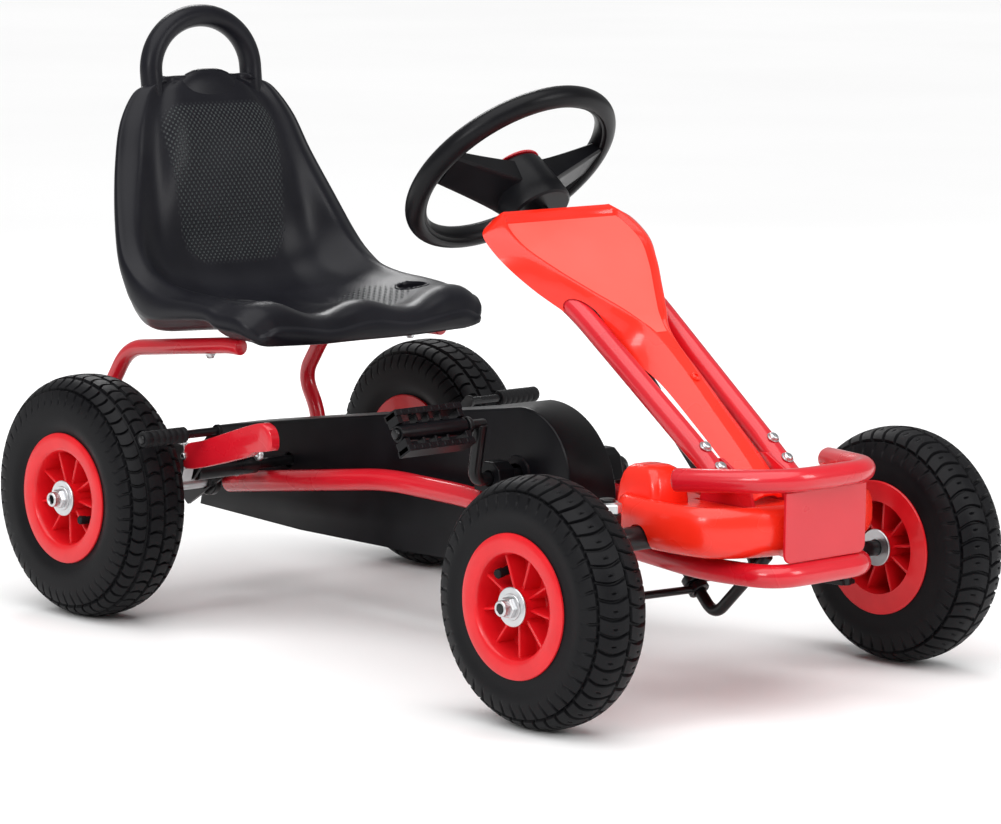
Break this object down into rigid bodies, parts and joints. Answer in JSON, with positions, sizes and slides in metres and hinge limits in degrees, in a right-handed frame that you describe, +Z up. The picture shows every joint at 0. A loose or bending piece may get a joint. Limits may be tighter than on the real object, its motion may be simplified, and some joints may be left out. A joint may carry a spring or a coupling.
{
  "type": "pedal go kart",
  "caption": "Child's pedal go kart: tubular steel frame, bucket seat with handle, chain-driven rear axle, tie-rod steering and a hand brake on the rear tyres.",
  "frame": {"origin": "on the ground, on the centre plane, midway between the back of the rear tyres and the front of the bumper", "axes": "+X forward in the direction of travel, +Y to the driver's left, +Z up"},
  "size_m": [0.9984, 0.61, 0.6431],
  "materials": {
    "crimson_paint": "gloss paint",
    "black_painted_steel": "satin paint",
    "zinc_plated_steel": "bright zinc plate",
    "black_plastic": "satin moulded plastic",
    "gloss_red_plastic": "gloss moulded plastic",
    "red_rim_plastic": "gloss moulded plastic",
    "tyre_rubber": "moulded rubber",
    "brake_rubber": "plain rubber"
  },
  "bodies": {
    "chassis": {"main_frame_tube": "crimson_paint", "bumper_upper_tube": "crimson_paint", "bumper_plate": "crimson_paint", "front_axle_beam": "black_painted_steel", "seat_frame_tube": "crimson_paint", "seat": "black_plastic", "chain_guard": "black_plastic", "nose_tray": "gloss_red_plastic", "front_panel": "gloss_red_plastic", "steering_bush_upper": "black_painted_steel", "drive_chain": "zinc_plated_steel", "axle_plate_right": "black_painted_steel", "axle_bearing_right": "black_painted_steel", "column_bracket_right": "crimson_paint", "column_tube_right": "crimson_paint", "column_bolt_right_1": "zinc_plated_steel", "column_bolt_right_2": "zinc_plated_steel", "crank_bearing_right": "black_plastic", "brake_bearing_right": "black_painted_steel", "axle_plate_left": "black_painted_steel", "axle_bearing_left": "black_painted_steel", "column_bracket_left": "crimson_paint", "column_tube_left": "crimson_paint", "column_bolt_left_1": "zinc_plated_steel", "column_bolt_left_2": "zinc_plated_steel", "crank_bearing_left": "black_plastic", "brake_bearing_left": "black_painted_steel"},
    "rear_axle": {"rear_axle": "zinc_plated_steel", "rear_sprocket": "black_painted_steel", "tyre_rear_right": "tyre_rubber", "rim_rear_right": "red_rim_plastic", "wheel_nut_rear_right": "zinc_plated_steel", "tyre_rear_left": "tyre_rubber", "rim_rear_left": "red_rim_plastic", "wheel_nut_rear_left": "zinc_plated_steel"},
    "crankset": {"crank": "black_painted_steel", "chainring": "black_painted_steel"},
    "steering": {"steering_shaft": "black_painted_steel", "steering_wheel": "black_plastic", "steering_hub_cap": "crimson_paint"},
    "brake": {"brake_shaft": "black_painted_steel", "brake_lever": "zinc_plated_steel", "brake_lever_sleeve": "crimson_paint", "brake_pad_right": "brake_rubber", "brake_pad_left": "brake_rubber"},
    "pedal_right": {"pedal_right": "black_plastic"},
    "tie_rod_right": {"tie_rod_right": "black_painted_steel"},
    "knuckle_right": {"knuckle_right": "black_painted_steel", "kingpin_nut_right": "zinc_plated_steel", "wheel_nut_front_right": "zinc_plated_steel"},
    "front_wheel_right": {"tyre_front_right": "tyre_rubber", "rim_front_right": "red_rim_plastic"},
    "pedal_left": {"pedal_left": "black_plastic"},
    "tie_rod_left": {"tie_rod_left": "black_painted_steel"},
    "knuckle_left": {"knuckle_left": "black_painted_steel", "kingpin_nut_left": "zinc_plated_steel", "wheel_nut_front_left": "zinc_plated_steel"},
    "front_wheel_left": {"tyre_front_left": "tyre_rubber", "rim_front_left": "red_rim_plastic"}
  },
  "joints": [
    {"name": "rear_axle_spin", "type": "hinge", "parent": "chassis", "child": "rear_axle", "pos_m": [-0.366, 0, 0.13], "axis": [0, 1, 0], "continuous": true},
    {"name": "crank_spin", "type": "hinge", "parent": "chassis", "child": "crankset", "pos_m": [0.092, 0, 0.19], "axis": [0, 1, 0], "continuous": true},
    {"name": "steering_turn", "type": "hinge", "parent": "chassis", "child": "steering", "pos_m": [0.0275, 0, 0.497], "axis": [-0.7071, 0, 0.7071], "range_deg": [-18, 18]},
    {"name": "brake_pull", "type": "hinge", "parent": "chassis", "child": "brake", "pos_m": [-0.275, 0, 0.1595], "axis": [0, -1, 0], "range_deg": [0, 31]},
    {"name": "pedal_spin_right", "type": "hinge", "parent": "crankset", "child": "pedal_right", "pos_m": [0.10242, -0.174, 0.24909], "axis": [0, 1, 0], "continuous": true},
    {"name": "kingpin_turn_right", "type": "hinge", "parent": "chassis", "child": "knuckle_right", "pos_m": [0.351, -0.168, 0.12], "axis": [0, 0, 1], "range_deg": [-29, 29]},
    {"name": "front_wheel_spin_right", "type": "hinge", "parent": "knuckle_right", "child": "front_wheel_right", "pos_m": [0.351, -0.252, 0.1214], "axis": [0, 1, 0], "continuous": true},
    {"name": "tie_rod_pivot_right", "type": "hinge", "parent": "steering", "child": "tie_rod_right", "pos_m": [0.30914, 0, 0.0984], "axis": [-0.7071, 0, 0.7071], "range_deg": [-18, 18]},
    {"name": "pedal_spin_left", "type": "hinge", "parent": "crankset", "child": "pedal_left", "pos_m": [0.08158, 0.174, 0.13091], "axis": [0, 1, 0], "continuous": true},
    {"name": "kingpin_turn_left", "type": "hinge", "parent": "chassis", "child": "knuckle_left", "pos_m": [0.351, 0.168, 0.12], "axis": [0, 0, 1], "range_deg": [-29, 29]},
    {"name": "front_wheel_spin_left", "type": "hinge", "parent": "knuckle_left", "child": "front_wheel_left", "pos_m": [0.351, 0.252, 0.1214], "axis": [0, 1, 0], "continuous": true},
    {"name": "tie_rod_pivot_left", "type": "hinge", "parent": "steering", "child": "tie_rod_left", "pos_m": [0.30136, 0, 0.10618], "axis": [-0.7071, 0, 0.7071], "range_deg": [-18, 18]}
  ],
  "couplings": [
    {"joint": "crank_spin", "follows": "rear_axle_spin", "ratio": 0.6},
    {"joint": "kingpin_turn_right", "follows": "steering_turn", "ratio": 1.6},
    {"joint": "tie_rod_pivot_right", "follows": "steering_turn", "ratio": -1},
    {"joint": "kingpin_turn_left", "follows": "steering_turn", "ratio": 1.6},
    {"joint": "tie_rod_pivot_left", "follows": "steering_turn", "ratio": -1}
  ]
}
